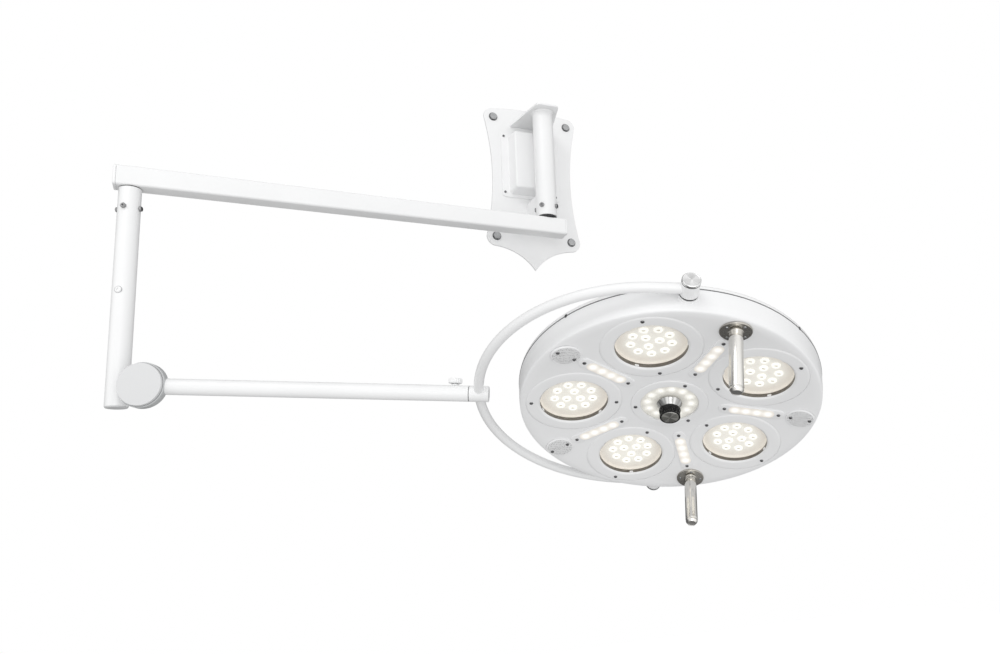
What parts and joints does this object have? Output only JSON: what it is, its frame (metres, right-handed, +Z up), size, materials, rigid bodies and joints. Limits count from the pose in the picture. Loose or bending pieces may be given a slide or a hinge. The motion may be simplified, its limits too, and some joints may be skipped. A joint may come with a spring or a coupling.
{
  "type": "wall-mounted surgical light",
  "caption": "Wall-mounted surgical light: plate and column, two jointed arms, half-round bow and a round tilting head with LED light modules, focus knob and handles.",
  "frame": {"origin": "centre of the four bolts, on the back face of the wall plate", "axes": "+X right along the wall, +Y into the wall, +Z up"},
  "size_m": [1.311, 0.8287, 1.1268],
  "materials": {
    "white_paint": "smooth white powder coat",
    "white_shell": "satin white moulding",
    "grey_face": "light grey, satin",
    "bright_steel": "turned and brushed",
    "spun_aluminium": "spun, radial brushing",
    "pan_aluminium": "bare sheet",
    "dark_rubber": "matte",
    "black_plastic": "fluted, satin",
    "driver_case": "moulded case",
    "window": "clear window over warm white LEDs"
  },
  "bodies": {
    "wall": {"wall_plate": "white_paint", "wall_bolt_1": "bright_steel", "wall_bolt_2": "bright_steel", "wall_bolt_3": "bright_steel", "wall_bolt_4": "bright_steel", "bracket_top_plate": "white_paint", "lower_bracket": "white_paint", "column_tube": "white_paint", "column_bush": "dark_rubber", "driver_cover": "white_shell", "led_driver": "driver_case"},
    "arm_1": {"arm_1_tube": "white_paint", "arm_1_inner_cap": "white_paint", "arm_1_outer_cap": "white_paint", "arm_1_spigot": "bright_steel", "drop_spigot": "bright_steel"},
    "drop": {"drop_tube": "white_paint", "drop_bush": "dark_rubber", "drop_foot_plug": "dark_rubber", "hinge_lug": "white_paint", "hinge_axle": "bright_steel", "hinge_washer": "dark_rubber"},
    "arm_2": {"hinge_drum": "white_paint", "hinge_cover": "grey_face", "arm_2_tube": "white_paint"},
    "clamp": {"clamp_knob": "white_shell"},
    "bow": {"bow_tube": "white_paint", "bow_coupling": "white_paint", "upper_pivot_housing": "white_paint", "lower_pivot_housing": "white_paint", "upper_pivot_cap": "spun_aluminium", "lower_pivot_cap": "spun_aluminium"},
    "head": {"upper_pivot_pin": "bright_steel", "lower_pivot_pin": "bright_steel", "upper_pivot_ring": "dark_rubber", "lower_pivot_ring": "dark_rubber", "head_front_housing": "white_paint", "head_rear_cover": "white_shell", "light_engine_pan": "pan_aluminium", "module_1_bezel": "white_shell", "module_2_bezel": "white_shell", "module_3_bezel": "white_shell", "module_4_bezel": "white_shell", "module_5_bezel": "white_shell", "module_1_window": "window", "module_2_window": "window", "module_3_window": "window", "module_4_window": "window", "module_5_window": "window", "centre_bezel": "white_shell", "centre_window": "window", "focus_cone": "bright_steel", "grille_cap_1": "white_shell", "grille_cap_2": "white_shell", "grille_cap_3": "white_shell", "handle_1_mount": "bright_steel", "handle_2_mount": "bright_steel"},
    "focus": {"focus_knob": "black_plastic"},
    "sleeve_1": {"handle_1_sleeve": "bright_steel"},
    "sleeve_2": {"handle_2_sleeve": "bright_steel"}
  },
  "joints": [
    {"name": "arm_1_swivel", "type": "hinge", "parent": "wall", "child": "arm_1", "pos_m": [0, -0.1015, -0.1684], "axis": [0, 0, 1], "range_deg": [-4, 175]},
    {"name": "drop_swivel", "type": "hinge", "parent": "arm_1", "child": "drop", "pos_m": [-0.91388, -0.13245, -0.1684], "axis": [0, 0, 1], "range_deg": [-165, 165]},
    {"name": "arm_2_tilt", "type": "hinge", "parent": "drop", "child": "arm_2", "pos_m": [-0.86421, -0.17125, -0.6028], "axis": [-0.3649, -0.9311, 0], "range_deg": [-40, 40]},
    {"name": "clamp_turn", "type": "hinge", "parent": "arm_2", "child": "clamp", "pos_m": [-0.31593, -0.38612, -0.62183], "axis": [0.0679, -0.0266, 0.9973], "range_deg": [0, 360]},
    {"name": "bow_roll", "type": "hinge", "parent": "arm_2", "child": "bow", "pos_m": [-0.29202, -0.39549, -0.64777], "axis": [0.9286, -0.3639, -0.073], "range_deg": [-160, 160]},
    {"name": "head_tilt", "type": "hinge", "parent": "bow", "child": "head", "pos_m": [0.07272, -0.53843, -0.67643], "axis": [0.292, 0.8377, -0.4614], "range_deg": [-150, 150]},
    {"name": "focus_turn", "type": "hinge", "parent": "head", "child": "focus", "pos_m": [0.0635, -0.55307, -0.70885], "axis": [0.251, 0.3984, 0.8822], "range_deg": [-135, 135]},
    {"name": "sleeve_1_pull", "type": "slide", "parent": "head", "child": "sleeve_1", "axis": [-0.3281, -0.4974, -0.8031], "range_m": [0, 0.09]},
    {"name": "sleeve_2_pull", "type": "slide", "parent": "head", "child": "sleeve_2", "axis": [-0.2535, -0.2589, -0.932], "range_m": [0, 0.09]}
  ]
}
